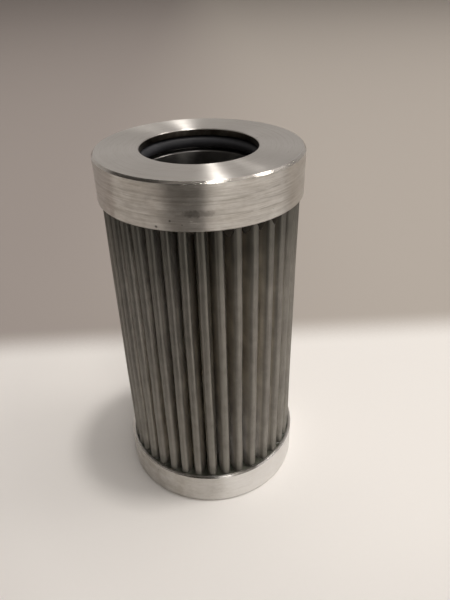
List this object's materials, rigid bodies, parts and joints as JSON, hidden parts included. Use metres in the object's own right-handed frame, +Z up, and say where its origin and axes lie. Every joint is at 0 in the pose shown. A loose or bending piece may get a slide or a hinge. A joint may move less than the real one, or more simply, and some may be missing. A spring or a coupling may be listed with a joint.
{
  "type": "pleated hydraulic filter element",
  "caption": "Cylindrical pleated wire-cloth filter element with turned aluminium end caps, one closed and one with an O-ring sealed bore.",
  "frame": {"origin": "centre of the bottom cap's flat face", "axes": "+Z up along the element's axis, towards the bored cap; the measured pleats face -Y"},
  "size_m": [0.0452, 0.0452, 0.0872],
  "materials": {
    "cap_aluminium": "turned, fine circular machining marks",
    "nitrile_rubber": "smooth, slightly oily",
    "core_steel": "rolled perforated sheet",
    "wire_cloth": "woven stainless wire, satin",
    "fine_cloth": "fine woven stainless wire",
    "seam_steel": "folded stainless strip",
    "epoxy": "cast adhesive, glossy"
  },
  "bodies": {
    "root": {"top_end_cap": "cap_aluminium", "bottom_end_cap": "cap_aluminium", "bore_o_ring": "nitrile_rubber", "core_tube": "core_steel", "outer_support_mesh": "wire_cloth", "filter_mesh": "fine_cloth", "inner_support_mesh": "wire_cloth", "seam_strip_clip": "seam_steel", "top_potting": "epoxy", "bottom_potting": "epoxy"}
  },
  "joints": []
}
